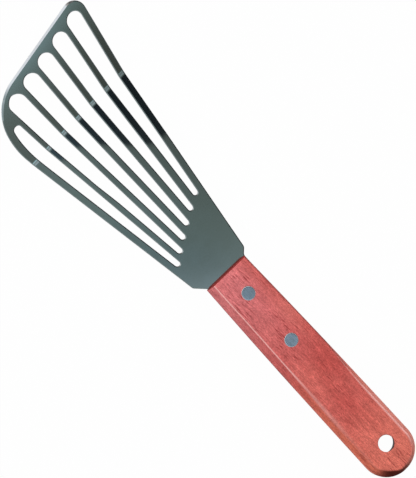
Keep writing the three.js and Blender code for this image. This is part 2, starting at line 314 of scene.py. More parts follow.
softbox_power = 10.3
softbox_colour = (1.0, 0.99, 0.98)
softbox_size = 0.60
softbox_places = {"near_softbox": (0.55, 0.85, 0.95), "far_softbox": (0.45, -0.90, 0.95)}
for name, place in softbox_places.items():
    lamp_data = bpy.data.lights.new(name, "AREA")
    lamp_data.shape = "SQUARE"
    lamp_data.size = softbox_size
    lamp_data.energy = softbox_power
    lamp_data.color = softbox_colour
    lamp = add_object(name, lamp_data)
    lamp.location = place
    lamp.rotation_euler = (-Vector(place)).to_track_quat("-Z", "Y").to_euler()
    lamp.visible_glossy = False
table_reach = 3.0
table_drop = -0.2 * MM
table_grey = 0.55
white_share = 0.985
ends = ((-1, -1), (1, -1), (1, 1), (-1, 1))
table_mesh = bpy.data.meshes.new("white_table")
table_mesh.from_pydata([(table_reach * x, table_reach * y, table_drop) for x, y in ends], [], [(0, 1, 2, 3)])
table = add_object("white_table", table_mesh)
table_paint = bpy.data.materials.new("white_table")
paper = cleared_tree(table_paint)
matt = step(paper, "ShaderNodeBsdfDiffuse", Color=grey(table_grey))
bright = step(paper, "ShaderNodeEmission", Color=grey(1.0))
ray = named_flows(place_node(paper, "ShaderNodeLightPath"))
either = ray.is_camera_ray + ray.is_glossy_ray + ray.is_transmission_ray
white = either.ramp(0.0, 1.0, 0.0, white_share)
paint = white.through(place_node(paper, "ShaderNodeMixShader"), matt, bright)
place_node(paper, "ShaderNodeOutputMaterial", Surface=paint)
table_mesh.materials.append(table_paint)
print("lamps:", list(softbox_places))

# %% [markdown]
# Two effects are shared by several finishes. The first is polishing grain: fine lines left by a belt or a
# wheel, long in one direction and very narrow in the other. The second is handling: soft, uneven patches
# where a surface has been wiped and touched. Both are node groups, so each finish sets its own values.

# %% Shared effects
coarse_share = 0.6
fine_scale = 3.7


def vector_of(tree, x, y, z):
    return step(tree, "ShaderNodeCombineXYZ", X=x, Y=y, Z=z)


def new_tree(name, kind, wanted, given):
    tree = bpy.data.node_groups.new(name, kind)
    for way, sockets in (("INPUT", wanted), ("OUTPUT", given)):
        for title, socket_type in sockets:
            tree.interface.new_socket(title, in_out=way, socket_type="NodeSocket" + socket_type)
    entry = tree.nodes.new("NodeGroupInput")
    return tree, named_flows(entry), tree.nodes.new("NodeGroupOutput")


def polishing_grain_group():
    wanted = [("Position", "Vector"), ("Lines Along", "Float"), ("Lines Across", "Float")]
    tree, size, leave = new_tree(
        "polishing_grain", "ShaderNodeTree", wanted, [("Tone", "Float"), ("Height", "Float")]
    )
    x, y, z = parts_of(size.position)
    stretched = vector_of(tree, x * size.lines_along, y * size.lines_across, z * size.lines_across)
    coarse = step(tree, "ShaderNodeTexNoise", Vector=stretched, Scale=1.0, Detail=3.0)
    fine = step(tree, "ShaderNodeTexNoise", Vector=stretched, Scale=fine_scale, Detail=2.0)
    tone = coarse * coarse_share + fine * (1 - coarse_share)
    feed_named(leave, {"Tone": tone, "Height": tone.maths("POWER", 2.0)})
    return tree


def handling_group():
    wanted = [("Position", "Vector"), ("Patches", "Float")]
    tree, size, leave = new_tree("handling", "ShaderNodeTree", wanted, [("Mask", "Float")])
    cloud = {"Vector": size.position, "Scale": size.patches, "Detail": 4.0, "Roughness": 0.6}
    feed_named(leave, {"Mask": step(tree, "ShaderNodeTexNoise", **cloud).ramp(0.32, 0.68, smooth=True)})
    return tree


def use_group(group, place, **values):
    node = place_node(place.tree, "ShaderNodeGroup", {"node_tree": group}, Position=place, **values)
    return named_flows(node)


polishing_grain = polishing_grain_group()
handling = handling_group()
print("shared effects:", [group.name for group in (polishing_grain, handling)])

# %% [markdown]
# Three finishes belong to the blade. The faces of the sheet are fine satin steel, a little green in a pale
# room. The sheared walls of the outline and the slots are lighter and rougher, with a fine torn grain. The
# edge at the tip is ground and is the brightest of the three. In the last two, colour, gloss and relief all
# follow the marks of one tool, so one function makes both.

# %% Blade finishes
middle_tones = (0.3, 0.7)


def new_finish(name):
    finish = bpy.data.materials.new(name)
    tree = cleared_tree(finish)
    surface = place_node(tree, "ShaderNodeBsdfPrincipled")
    place_node(tree, "ShaderNodeOutputMaterial", Surface=Flow(surface.outputs[0]))
    return finish, tree, surface, step(tree, "ShaderNodeTexCoord", None, "Object")


def relief(height, depth):
    return step(height.tree, "ShaderNodeBump", Distance=depth, Strength=1.0, Height=height)


def tooled_finish(name, lines, colours, roughness, depth, **others):
    finish, tree, surface, place = new_finish(name)
    grain = use_group(polishing_grain, place, Lines_Along=lines[0], Lines_Across=lines[1])
    looks = {
        "Base Color": blended(tree, grain.tone, *colours),
        "Roughness": grain.tone.ramp(*middle_tones, *roughness),
        "Normal": relief(grain.height, depth),
    }
    feed_named(surface, looks | others)
    return finish


def satin_steel():
    finish, tree, surface, place = new_finish("satin_steel")
    grain = use_group(polishing_grain, place, Lines_Along=900.0, Lines_Across=2600.0)
    touched = use_group(handling, place, Patches=26.0)
    clouded = use_group(handling, place, Patches=110.0)
    clean = (0.53, 0.575, 0.57)
    dull = (0.455, 0.49, 0.485)
    green_film = (0.455, 0.49, 0.465)
    wiped = blended(tree, touched.mask, clean, dull)
    looks = {
        "Base Color": blended(tree, clouded.mask * 0.5, wiped, green_film),
        "Roughness": touched.mask.ramp(0.0, 1.0, 0.07, 0.09) + grain.tone.ramp(*middle_tones, -0.012, 0.012),
        "Metallic": 1.0,
        "Normal": relief(grain.height, 0.0004 * MM),
    }
    feed_named(surface, looks)
    return finish


bright_wall = (0.78, 0.80, 0.80)
torn_wall = (0.60, 0.62, 0.62)
bright_edge = (0.90, 0.92, 0.93)
grey_edge = (0.74, 0.77, 0.78)
blade_face = satin_steel()
blade_wall = tooled_finish(
    "sheared_steel", (3500.0, 3500.0), (bright_wall, torn_wall), (0.30, 0.46), 0.01 * MM, Metallic=1.0
)
blade_ground = tooled_finish(
    "ground_steel", (2600.0, 420.0), (bright_edge, grey_edge), (0.10, 0.16), 0.001 * MM, Metallic=1.0
)
print("blade finishes:", blade_face.name, blade_wall.name, blade_ground.name)

# %% [markdown]
# The blade starts as a flat blank, cut from a sheet. Its outline is a tang, two shoulders, two sides that
# spread, a slanted tip and one wide corner that two arcs make. Each corner of the blank is written with the
# radius that rounds it, and all sizes are measured from the front of the handle.

# %% Sizes of the flat sheet
sheet_thickness = 1.2 * MM
tang_half_width = 12.6 * MM
tang_length = 66 * MM
tang_radius = 3 * MM
short_shoulder_step = 4.4 * MM
long_shoulder_step = 2.45 * MM
shoulder_stand_off = 0.4 * MM
shoulder_radius = 2.2 * MM
tip_edge_at_axis = 147.0 * MM
tip_radius = 6.3 * MM
tip_slope = math.tan(math.radians(12.5))
short_side_slope = math.tan(math.radians(9.7))
long_side_slope = math.tan(math.radians(8.2))
short_half_width = tang_half_width + short_shoulder_step
long_half_width = tang_half_width + long_shoulder_step
corner_side_radius = 42 * MM
corner_tip_radius = 25.6 * MM
corner_fall = math.tan(math.radians(12))
corner_side_x = 116.5 * MM
front_rivet_x = -14.4 * MM
rear_rivet_x = -46.3 * MM


def short_side(x):
    return short_half_width + short_side_slope * x


def long_side(x):
    return -long_half_width - long_side_slope * x


short_shoulder_x = (short_shoulder_step + shoulder_stand_off) / (1 - short_side_slope)
long_shoulder_x = (long_shoulder_step + shoulder_stand_off) / (1 - long_side_slope)
corner_side_y = short_side(corner_side_x)
corner_tip_x = tip_edge_at_axis - tip_slope * (corner_side_y + corner_fall * corner_side_x)
corner_tip_x = corner_tip_x / (1 - tip_slope * corner_fall)
corner_tip_y = (tip_edge_at_axis - corner_tip_x) / tip_slope
long_tip_y = long_side(tip_edge_at_axis) / (1 - long_side_slope * tip_slope)
sheet_corners = [
    (-tang_length, -tang_half_width, tang_radius),
    (shoulder_stand_off, -tang_half_width, shoulder_radius),
    (long_shoulder_x, long_side(long_shoulder_x), shoulder_radius),
    (tip_edge_at_axis - tip_slope * long_tip_y, long_tip_y, tip_radius),
    (corner_tip_x, corner_tip_y, corner_tip_radius),
    (corner_side_x, corner_side_y, corner_side_radius),
    (short_shoulder_x, short_side(short_shoulder_x), shoulder_radius),
    (shoulder_stand_off, tang_half_width, shoulder_radius),
    (-tang_length, tang_half_width, tang_radius),
]


def arc_centre(corner, radius, first_out, second_out):
    """The centre of the arc that rounds a corner between two edges, from their outward directions."""
    middle = first_out + second_out
    return Vector(corner) - middle * (radius / middle.dot(first_out))


tip_out = Vector((1, tip_slope)).normalized()
side_out = Vector((-short_side_slope, 1)).normalized()
corner_out = Vector((corner_fall, 1)).normalized()
side_centre = arc_centre((corner_side_x, corner_side_y), corner_side_radius, side_out, corner_out)
tip_centre = arc_centre((corner_tip_x, corner_tip_y), corner_tip_radius, corner_out, tip_out)
print("sheet corners in mm:", [(round(x / MM, 1), round(y / MM, 1)) for x, y, r in sheet_corners])

# %% [markdown]
# The six slots follow one rule, so Geometry Nodes draw them. One closed loop is copied once for each slot,
# and a formula moves each copy to its base, its tip and its width. The last two also follow the rounded
# corner, and the middle ones sway a little near the tip. Cutting the slots with booleans would also work, but
# then no single number could move them all. The sizes below are the inputs of the tree.

# %% Sizes for the sheet's tree
sheet_sizes = {
    "Slots": 6,
    "First Base": 38.7 * MM,
    "Base Step": 3.98 * MM,
    "Base Width": 2.8 * MM,
    "Taper": 0.0575,
    "Last Taper": 0.044,
    "Last Shortfall": 10.2 * MM,
    "Edge Bar": 3.65 * MM,
    "Tip Rim": 4.4 * MM,
    "End Roundness": 0.96,
    "Rivet Hole": 2.55 * MM,
    "Thickness": sheet_thickness,
    "Narrow Bar": 0.55 * MM,
    "Corner Bar": 0.05 * MM,
    "Corner Rim": 2.8 * MM,
    "Corner Blend": 4 * MM,
    "Last End Slope": -0.03,
    "Middle Sway": -0.45 * MM,
    "Rim Width": 0.48 * MM,
    "Rim Drop": 0.15 * MM,
    "Grind Width": 0.95 * MM,
    "Grind Drop": 0.5 * MM,
    "Bend Place": 106.4 * MM,
    "Bend Angle": math.radians(16.5),
    "Bend Radius": 10 * MM,
    "Bend Skew": math.radians(3),
    "Dip Angle": math.radians(2),
    "Dip Start Far": 67.5 * MM,
    "Dip Start Near": 95.5 * MM,
    "Dip Edge Shortfall": 10 * MM,
    "Dip Ramp": 4 * MM,
    "Tip Relax": math.radians(1.5) / (40 * MM),
}
print("sizes in the sheet's tree:", len(sheet_sizes))

# %% [markdown]
# Each slot is one loop of points: out along one side, round the tip, back along the other side and round the
# base. A point's share of the loop says how far round it is, and the number of the copy says which base,
# slope and width it gets. The bars between the slots are what is left of the sheet.

# %% Slots
loop_points = 400
way_out = (0.0, 0.39)
round_tip = (0.39, 0.52)
way_back = (0.52, 0.91)
round_base = (0.91, 1.0)
narrow_bar_span = (62 * MM, 76 * MM)
sway_span = (90 * MM, 134 * MM)
side_blend = 1.0 * MM
same_number = 0.5
middle_slot = 2.0
middle_reach = 1.5


def shape_step(tree, kind, settings=None, out=0, **inputs):
    return step(tree, "GeometryNode" + kind, settings, out, **inputs)


def slot_loops(tree, size):
    """Closed loops, one for each slot, on the flat sheet."""
    loop = shape_step(tree, "MeshToCurve", Mesh=shape_step(tree, "MeshLine", Count=loop_points))
    loop = shape_step(tree, "SetSplineCyclic", Geometry=loop, Cyclic=True)
    copies = place_node(tree, "GeometryNodeDuplicateElements", {"domain": "SPLINE"}, Geometry=loop)
    feed(copies.inputs["Amount"], size.slots)
    number = Flow(copies.outputs["Duplicate Index"])
    last = size.slots - 1.0
    share = number / last
    is_last = number.maths("COMPARE", last, same_number)
    next_to_last = number.maths("COMPARE", last - 1.0, same_number)
    in_middle = number.maths("COMPARE", middle_slot, middle_reach)
    turn = shape_step(tree, "SplineParameter", None, "Index") / float(loop_points)
    bar = size.edge_bar
    last_base = size.first_base - size.base_step * last
    base = size.first_base - size.base_step * number
    taper = size.taper + (size.last_taper - size.taper) * is_last
    first_start = bar - long_half_width + (size.base_width - size.taper * size.first_base) * 0.5
    last_start = -bar + short_half_width - (size.base_width - size.last_taper * last_base) * 0.5
    first_slope = size.taper * 0.5 - long_side_slope
    last_slope = -size.last_taper * 0.5 + short_side_slope
    start = first_start + (last_start - first_start) * share
    slope = first_slope + (last_slope - first_slope) * share

    def half_width(x):
        return (size.base_width + taper * (x - base)) * 0.5

    def low_edge(x):
        return start + slope * x - half_width(x)

    def arc_limit(x, centre, radius):
        past = (x - centre.x).maths("MAXIMUM", 0.0)
        return (radius * radius - past * past).maths("MAXIMUM", 0.0).maths("SQRT") + centre.y

    def inside_corner(x, y):
        side_limit = arc_limit(x, side_centre, -bar - size.corner_bar + corner_side_radius)
        tip_limit = arc_limit(x, tip_centre, -size.corner_rim + corner_tip_radius)
        return y.maths("SMOOTH_MIN", side_limit, side_blend).maths("SMOOTH_MIN", tip_limit, size.corner_blend)

    def high_edge(x):
        straight = start + slope * x + half_width(x)
        straight = straight + size.narrow_bar * next_to_last * x.ramp(*narrow_bar_span)
        return straight + (inside_corner(x, straight) - straight) * is_last

    rim_at_axis = -size.tip_rim / math.cos(math.atan(tip_slope)) + tip_edge_at_axis
    tip = (rim_at_axis - start * tip_slope) / (slope * tip_slope + 1.0) - size.last_shortfall * is_last
    first_x = base + size.base_width * 0.5
    last_x = tip - (high_edge(tip) - low_edge(tip)) * 0.5 * size.end_roundness
    along_slot = first_x + (last_x - first_x) * (turn.ramp(*way_out) - turn.ramp(*way_back))
    tip_turn = turn.ramp(*round_tip, -math.pi / 2, math.pi / 2)
    base_turn = turn.ramp(*round_base, 0.0, math.pi)
    side = tip_turn.maths("SINE") * base_turn.maths("COSINE")
    tip_bulge = (tip - last_x) * tip_turn.maths("COSINE")
    base_bulge = (base - first_x) * base_turn.maths("SINE")
    end_slope = slope + (size.last_end_slope - slope) * is_last
    low = low_edge(along_slot)
    high = high_edge(along_slot)
    x = along_slot + tip_bulge + base_bulge
    y = (low + high) * 0.5 + end_slope * tip_bulge + slope * base_bulge + (high - low) * 0.5 * side
    y = y + size.middle_sway * in_middle * along_slot.ramp(*sway_span)
    y = y + (inside_corner(x, y) - y) * next_to_last
    loops = Flow(copies.outputs["Geometry"])
    placed = shape_step(tree, "SetPosition", Geometry=loops, Position=vector_of(tree, x, y, 0.0))
    return shape_step(tree, "ReverseCurve", Curve=placed)


print("points round each of", sheet_sizes["Slots"], "slots:", loop_points)

# %% [markdown]
# Every loop is marked before it is filled. The marks say which way the metal lies, how wide the rim is and
# how far it drops. A punch rolls the upper rim of each slot over a little. At the tip a grinding wheel takes
# more off, so there the rim is wider and deeper.

# %% Outline, rivet holes and rims
outline_step = 0.6 * MM
fillet_points = 40
hole_points = 64
grind_facing = (0.60, 0.93)
ground_width = 0.6 * MM


def rivet_loops(tree, size):
    circle = shape_step(tree, "CurvePrimitiveCircle", Resolution=hole_points, Radius=size.rivet_hole)
    first = (front_rivet_x, 0, 0)
    to_second = (rear_rivet_x - front_rivet_x, 0, 0)
    row = shape_step(tree, "MeshLine", Count=2, Start_Location=first, Offset=to_second)
    holes = shape_step(tree, "InstanceOnPoints", Points=row, Instance=circle)
    return shape_step(tree, "ReverseCurve", Curve=shape_step(tree, "RealizeInstances", Geometry=holes))


def outline_loop(tree, corners):
    fillet = {"Radius": kept(tree, "corner_radius"), "Count": fillet_points, "Limit Radius": True}
    path = shape_step(tree, "MeshToCurve", Mesh=corners)
    path = shape_step(tree, "FilletCurve", {"mode": "POLY"}, Curve=path, **fillet)
    return shape_step(tree, "ResampleCurve", {"mode": "LENGTH"}, Curve=path, Length=outline_step)


def keep(geometry, name, value, data_type="FLOAT", domain="POINT"):
    settings = {"data_type": data_type, "domain": domain}
    inputs = {"Geometry": geometry, "Name": name, "Value": value}
    return shape_step(geometry.tree, "StoreNamedAttribute", settings, **inputs)


def kept(tree, name, data_type="FLOAT"):
    return shape_step(tree, "InputNamedAttribute", {"data_type": data_type}, Name=name)


def joined(*parts):
    node = place_node(parts[0].tree, "GeometryNodeJoinGeometry")
    for part in parts:
        feed(node.inputs[0], part)
    return Flow(node.outputs[0])


def vector_maths(operation, first, second):
    node = place_node(first.tree, "ShaderNodeVectorMath", {"operation": operation})
    feed(node.inputs[0], first)
    feed(node.inputs["Scale" if operation == "SCALE" else 1], second)
    return Flow(node.outputs["Value" if operation == "DOT_PRODUCT" else "Vector"])


def into_metal(tree):
    """On a loop with the metal on its left, the direction from the rim into the metal."""
    tangent_x, tangent_y = parts_of(shape_step(tree, "InputTangent"))[:2]
    return vector_of(tree, -tangent_y, tangent_x, 0.0)


def marked_loops(tree, size):
    """All loops of the flat sheet, each point with its way into the metal and its rim's width and drop."""
    facing = vector_maths("DOT_PRODUCT", into_metal(tree), vector_of(tree, -1.0, -tip_slope, 0.0))
    ground = facing.ramp(*grind_facing, smooth=True)
    outline = outline_loop(tree, size.corners)
    outline = keep(outline, "rim_width", size.rim_width + (size.grind_width - size.rim_width) * ground)
    outline = keep(outline, "rim_drop", size.rim_drop + (size.grind_drop - size.rim_drop) * ground)
    inner = joined(slot_loops(tree, size), rivet_loops(tree, size))
    inner = keep(inner, "rim_width", size.rim_width)
    inner = keep(inner, "rim_drop", size.rim_drop)
    loops = keep(joined(outline, inner), "into_metal", into_metal(tree), "FLOAT_VECTOR")
    return keep(loops, "flat_place", shape_step(tree, "InputPosition"), "FLOAT_VECTOR")


print("rim of the slots in mm:", round(sheet_sizes["Rim Width"] / MM, 2), "wide")

# %% [markdown]
# The marked loops become a solid sheet: an upper face, a lower face and a wall of four rings between them.
# Between the first two rings lies the rolled or ground rim, between the middle two the sheared wall, and
# between the last two the small rim underneath. Faces of the wall and of the ground tip are marked for their
# own finishes.

# %% Faces and walls
ring_count = 4
upper_rim_end = 0.8
wall_middle = 1.5
wall_reach = 0.3


def into_sheet(tree, inset):
    return vector_maths("SCALE", kept(tree, "into_metal", "FLOAT_VECTOR"), inset)


def flat_face(loops, inset, height):
    tree = loops.tree
    inner = shape_step(tree, "SetPosition", Geometry=loops, Offset=into_sheet(tree, inset))
    face = shape_step(tree, "FillCurve", Curve=inner)
    return shape_step(tree, "SetPosition", Geometry=face, Offset=vector_of(tree, 0.0, 0.0, height))


def rim_band(size, loops):
    """The wall of the sheet: upper rim, sheared wall and lower rim, in four rings."""
    tree = loops.tree
    half = size.thickness * 0.5
    strip = shape_step(tree, "MeshToCurve", Mesh=shape_step(tree, "MeshLine", Count=ring_count))
    strip = keep(strip, "ring", shape_step(tree, "InputIndex"))
    band = shape_step(tree, "CurveToMesh", Curve=loops, Profile_Curve=strip)
    ring = kept(tree, "ring")
    on_top, under_top, over_bottom, at_bottom = [
        ring.maths("COMPARE", float(i), same_number) for i in range(ring_count)
    ]
    inset = kept(tree, "rim_width") * on_top + size.rim_width * at_bottom
    upper = half - kept(tree, "rim_drop") * under_top
    lower = half - size.rim_drop + size.rim_drop * at_bottom
    height = upper - (upper + lower) * (over_bottom + at_bottom)
    spot = vector_maths("ADD", kept(tree, "flat_place", "FLOAT_VECTOR"), into_sheet(tree, inset))
    spot = vector_maths("ADD", spot, vector_of(tree, 0.0, 0.0, height))
    band = shape_step(tree, "SetPosition", Geometry=band, Position=spot)
    wall = ring.maths("COMPARE", wall_middle, wall_reach)
    wide_rim = kept(tree, "rim_width").maths("GREATER_THAN", ground_width)
    ground = ring.maths("LESS_THAN", upper_rim_end) * wide_rim
    band = keep(band, "sheared_face", wall, "FLOAT", "FACE")
    return keep(band, "ground_face", ground, "FLOAT", "FACE")


print("sheet thickness in mm:", round(sheet_thickness / MM, 2))

# %% [markdown]
# Last the flat sheet is bent in a press, about a line three degrees off square. Just before the bend it dips
# by two degrees, as thin sheet can when a press pulls it down, and past the bend it relaxes a little towards
# the tip. The formula walks along the sheet and adds up the turn, so the length of the metal stays the same.

# %% Bend
dip_across = (-22 * MM, 17 * MM)
dip_edge = (25 * MM, 30 * MM)


def bent(size, sheet):
    tree = sheet.tree
    x, y, height = parts_of(shape_step(tree, "InputPosition"))
    skew_cos = size.bend_skew.maths("COSINE")
    skew_sin = size.bend_skew.maths("SINE")
    from_bend = x - size.bend_place
    across = from_bend * skew_cos + y * skew_sin
    sideways = y * skew_cos - from_bend * skew_sin
    radius = size.bend_radius
    full = size.bend_angle
    reach = radius * (full * 0.5).maths("TANGENT")
    walked = across + reach
    dip_start = y.ramp(*dip_across, size.dip_start_far, size.dip_start_near, smooth=True)
    dip_start = dip_start + y.ramp(*dip_edge, 0.0, size.dip_edge_shortfall)
    dip_room = (size.bend_place - reach - dip_start).maths("MAXIMUM", 0.0)
    dip_walk = (walked + dip_room).maths("MAXIMUM", 0.0).maths("MINIMUM", dip_room)
    in_ramp = dip_walk.maths("MINIMUM", size.dip_ramp)
    dip_slope = -size.dip_angle * in_ramp / size.dip_ramp
    dip_rise = -size.dip_angle * (in_ramp * in_ramp / size.dip_ramp * 0.5 + dip_walk - in_ramp)
    sharp = full - dip_slope
    turning = dip_slope + (walked / radius).maths("MAXIMUM", 0.0).maths("MINIMUM", sharp)
    rest = (walked - radius * sharp).maths("MAXIMUM", 0.0)
    relax = size.tip_relax * rest
    slope = turning - relax
    mean_slope = full - relax * 0.5
    run = across.maths("MINIMUM", -reach) + radius * (turning.maths("SINE") - dip_slope.maths("SINE"))
    run = run + rest * mean_slope.maths("COSINE") - height * slope.maths("SINE")
    rise = dip_rise + radius * (dip_slope.maths("COSINE") - turning.maths("COSINE"))
    rise = rise + rest * mean_slope.maths("SINE") + height * slope.maths("COSINE")
    new_x = size.bend_place + run * skew_cos - sideways * skew_sin + handle_front
    new_y = sideways * skew_cos + run * skew_sin + axis_y
    spot = vector_of(tree, new_x, new_y, rise + mid_height)
    return shape_step(tree, "SetPosition", Geometry=keep(sheet, "sheet_slope", slope), Position=spot)


print("bend in degrees:", round(math.degrees(sheet_sizes["Bend Angle"]), 1))

# %% [markdown]
# The steps above now make one tree. The two faces and the wall are joined, their seams are welded, and the
# sheet is bent. The tree ends by making its copies real and by giving the marked faces their finishes.

# %% Tree for the slotted sheet
seam_distance = 0.002 * MM
mark_level = 0.5


def slotted_sheet_tree():
    kinds = [("Corners", "Geometry"), ("Slots", "Int")]
    kinds += [(name, "Float") for name in sheet_sizes if name != "Slots"]
    kinds += [(name, "Material") for name in ("Face", "Wall", "Ground")]
    tree, size, leave = new_tree("slotted_sheet", "GeometryNodeTree", kinds, [("Sheet", "Geometry")])
    half = size.thickness * 0.5
    loops = marked_loops(tree, size)
    upper = flat_face(loops, kept(tree, "rim_width"), half)
    lower = shape_step(tree, "FlipFaces", Mesh=flat_face(loops, size.rim_width, -half))
    sheet = joined(upper, lower, rim_band(size, loops))
    sheet = shape_step(tree, "MergeByDistance", Geometry=sheet, Distance=seam_distance)
    sheet = shape_step(tree, "RealizeInstances", Geometry=bent(size, sheet))
    sheet = shape_step(tree, "SetMaterial", Geometry=sheet, Material=size.face)
    for mark, finish in (("sheared_face", size.wall), ("ground_face", size.ground)):
        marked = kept(tree, mark).maths("GREATER_THAN", mark_level)
        sheet = shape_step(tree, "SetMaterial", Geometry=sheet, Selection=marked, Material=finish)
    feed(leave.inputs["Sheet"], sheet)
    return tree


slotted_sheet = slotted_sheet_tree()
print("nodes in the sheet's tree:", len(slotted_sheet.nodes))

# %% [markdown]
# A finished piece is a plain mesh with no modifier left on it, so that it looks the same in every program
# that opens it. The helpers below run a tree or a modifier, keep only the mesh that comes out, close its
# seams and turn its faces outward. Each piece reports its triangles and any edge that was left open.

# %% Plain meshes
weld_distance = 0.0005 * MM


def plain_mesh(piece):
    bpy.context.view_layer.update()
    graph = bpy.context.evaluated_depsgraph_get()
    mesh = bpy.data.meshes.new_from_object(piece.evaluated_get(graph), depsgraph=graph)
    piece.modifiers.clear()
    piece.data = mesh


def run_tree(piece, tree, values):
    modifier = piece.modifiers.new(tree.name, "NODES")
    modifier.node_group = tree
    for item in tree.interface.items_tree:
        if item.in_out == "INPUT" and item.name in values:
            modifier[item.identifier] = values[item.name]
    plain_mesh(piece)


def finish_normals(piece, sharp_degrees):
    shape = bmesh.new()
    shape.from_mesh(piece.data)
    bmesh.ops.remove_doubles(shape, verts=shape.verts, dist=weld_distance)
    bmesh.ops.recalc_face_normals(shape, faces=shape.faces)
    open_edges = sum(1 for edge in shape.edges if not edge.is_manifold)
    shape.to_mesh(piece.data)
    shape.free()
    piece.data.shade_smooth()
    piece.data.set_sharp_from_angle(angle=math.radians(sharp_degrees))
    count = sum(len(face.vertices) - 2 for face in piece.data.polygons)
    print(piece.name, "triangles:", count, "open edges:", open_edges)


print("seams are closed below", round(weld_distance / MM, 4), "mm")

# %% [markdown]
# The tree now runs on the corners of the blank. The sheet's faces are filled with long thin triangles, and
# normals averaged over those would blur the bend. So both faces get the exact normals of the bent sheet,
# which follow from the slope that the tree kept at each point.

# %% Blade
corner_mesh = bpy.data.meshes.new("slotted_blade")
corner_count = len(sheet_corners)
corner_links = [(i, (i + 1) % corner_count) for i in range(corner_count)]
corner_mesh.from_pydata([(x, y, 0) for x, y, radius in sheet_corners], corner_links, [])
corner_radius = corner_mesh.attributes.new("corner_radius", "FLOAT", "POINT")
for i, (x, y, radius) in enumerate(sheet_corners):
    corner_radius.data[i].value = radius
blade = add_object("steel_blade", corner_mesh)
run_tree(blade, slotted_sheet, sheet_sizes | {"Face": blade_face, "Wall": blade_wall, "Ground": blade_ground})
finish_normals(blade, sharp_degrees=12)
near_flat = math.cos(math.radians(6))


def set_sheet_normals(mesh):
    skew = sheet_sizes["Bend Skew"]
    uphill = Vector((math.cos(skew), math.sin(skew), 0))
    slopes = [item.value for item in mesh.attributes["sheet_slope"].data]
    normals = [corner.vector.copy() for corner in mesh.corner_normals]
    exact = 0
    for face in mesh.polygons:
        side = math.copysign(1, face.normal.z)
        for corner in face.loop_indices:
            slope = slopes[mesh.loops[corner].vertex_index]
            normal = (Vector((0, 0, math.cos(slope))) - uphill * math.sin(slope)) * side
            if normal.dot(face.normal) > near_flat:
                normals[corner] = normal
                exact += 1
    mesh.normals_split_custom_set(normals)
    return exact


print("corners with exact normals:", set_sheet_normals(blade.data), "of", len(blade.data.loops))
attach(blade, "root")
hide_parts("slotted_blade")

# %% [markdown]
# The handle is one piece of red-brown hardwood, sealed and rubbed to a satin gloss. Its colour comes from
# layers of noise that are stretched along the grain: broad bands, clouds, flecks, fibres, and short dark
# pores in clusters. They are worked out in solid space, so the same wood runs round every edge. Towards the
# front the wood is painted lighter and pinker, as a painted sheen. The handle's mesh carries three marks
# that change the colour: pale along the upper edges, which is wear with a painted highlight and sheen,
# orange along the rear sides, and dark at the end of the butt, which is end grain with painted shade, and
# along the far front edge, which is painted shade.

# %% Wood
edge_mark_names = ("edge_wear", "orange_side", "end_grain")
grain_slant = (0, math.radians(1.5), math.radians(-2.5))
light_wood = (0.625, 0.140, 0.117)
dark_wood = (0.535, 0.094, 0.080)
red_streak = (0.470, 0.070, 0.062)
# Lighter, pinker tone for the front: a painted sheen.
front_sheen_tone = (0.655, 0.186, 0.193)
butt_wood = (0.70, 0.172, 0.124)
side_wood = (0.665, 0.148, 0.086)
# Near-black end colour: end grain with painted shade.
end_grain_shade_wood = (0.085, 0.014, 0.008)
pore_colour = (0.27, 0.034, 0.034)
# Pale edge colour: wear with a painted highlight.
worn_and_highlight_wood = (0.94, 0.47, 0.44)
streak_centre = (-76 * MM, -7 * MM)
streak_reach = (15 * MM, 6 * MM)


